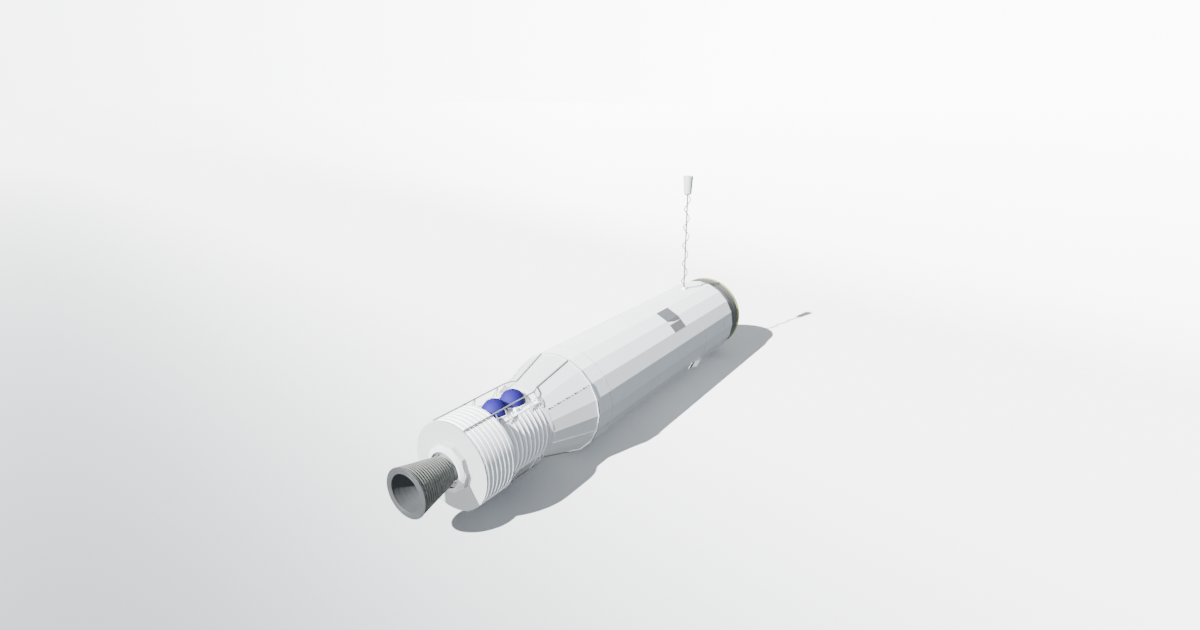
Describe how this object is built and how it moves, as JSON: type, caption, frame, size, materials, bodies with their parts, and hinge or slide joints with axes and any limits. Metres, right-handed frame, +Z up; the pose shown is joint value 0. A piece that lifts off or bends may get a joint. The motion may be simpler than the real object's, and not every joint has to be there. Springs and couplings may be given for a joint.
{
  "type": "docking target spacecraft",
  "caption": "Round white rocket stage with a docking cone on its nose, a gimballed ribbed engine nozzle, side rails with blue gas spheres and a drawn-in boom antenna.",
  "frame": {"origin": "on the vehicle's long axis, where the hull meets the flared cone", "axes": "+X along the vehicle towards the docking end, +Z up along the boom antenna, +Y to port"},
  "size_m": [8.126, 1.548, 3.6923],
  "materials": {
    "white_paint": "satin white thermal paint",
    "bare_ring": "dull grey metal",
    "rail_metal": "dull grey metal tube",
    "sphere_blue": "satin blue violet",
    "nozzle_skin": "matt dark grey green, ribbed",
    "nozzle_edge": "matt grey",
    "engine_metal": "machined",
    "rim_green": "satin yellow green",
    "grey_panel": "satin grey",
    "cone_metal": "spun metal"
  },
  "bodies": {
    "vehicle": {"junction_ring": "white_paint", "aft_skirt": "white_paint", "tank_section": "white_paint", "forward_rack": "white_paint", "adapter_barrel": "white_paint", "adapter_bulkhead": "grey_panel", "adapter_ring": "bare_ring", "flare_cone": "white_paint", "waist_section": "white_paint", "aft_barrel": "white_paint", "aft_plate": "white_paint", "engine_mount_ring": "white_paint", "engine_shroud": "white_paint", "gas_sphere_top_forward": "sphere_blue", "gas_sphere_top_aft": "sphere_blue", "gas_sphere_bottom_forward": "sphere_blue", "gas_sphere_bottom_aft": "sphere_blue", "rail_top_starboard": "rail_metal", "rail_top_port": "rail_metal", "rail_bottom_starboard": "rail_metal", "rail_bottom_port": "rail_metal", "side_panel_upper": "grey_panel", "side_panel_lower": "grey_panel", "side_pod_starboard": "white_paint", "side_pod_port": "white_paint", "boom_guide": "white_paint", "antenna_cable": "rail_metal", "damper_top_starboard": "grey_panel", "damper_top_port": "grey_panel", "damper_bottom_starboard": "grey_panel", "damper_bottom_port": "grey_panel"},
    "boom": {"boom_mast": "rail_metal", "antenna_cup": "white_paint"},
    "gimbal": {"gimbal_ring": "engine_metal"},
    "engine": {"thrust_chamber": "engine_metal", "nozzle": "nozzle_skin", "nozzle_lip": "nozzle_edge"},
    "docking_collar": {"docking_cone": "cone_metal", "cone_rim": "rim_green", "cone_skirt": "bare_ring", "cone_frame_ring": "engine_metal", "docking_latch_starboard": "grey_panel", "docking_latch_bottom": "grey_panel", "docking_latch_port": "grey_panel", "damper_rod_top_starboard": "rail_metal", "damper_rod_top_port": "rail_metal", "damper_rod_bottom_starboard": "rail_metal", "damper_rod_bottom_port": "rail_metal"}
  },
  "joints": [
    {"name": "engine_yaw", "type": "hinge", "parent": "vehicle", "child": "gimbal", "pos_m": [-2.16, 0, 0], "axis": [0, 0, 1], "range_deg": [-5, 5]},
    {"name": "engine_pitch", "type": "hinge", "parent": "gimbal", "child": "engine", "pos_m": [-2.16, 0, 0], "axis": [0, 1, 0], "range_deg": [-5, 5]},
    {"name": "boom_slide", "type": "slide", "parent": "vehicle", "child": "boom", "axis": [0, 0, 1], "range_m": [-1.4, 0], "deforming": ["antenna_cable"]},
    {"name": "docking_slide", "type": "slide", "parent": "vehicle", "child": "docking_collar", "axis": [1, 0, 0], "range_m": [-0.075, 0]}
  ]
}
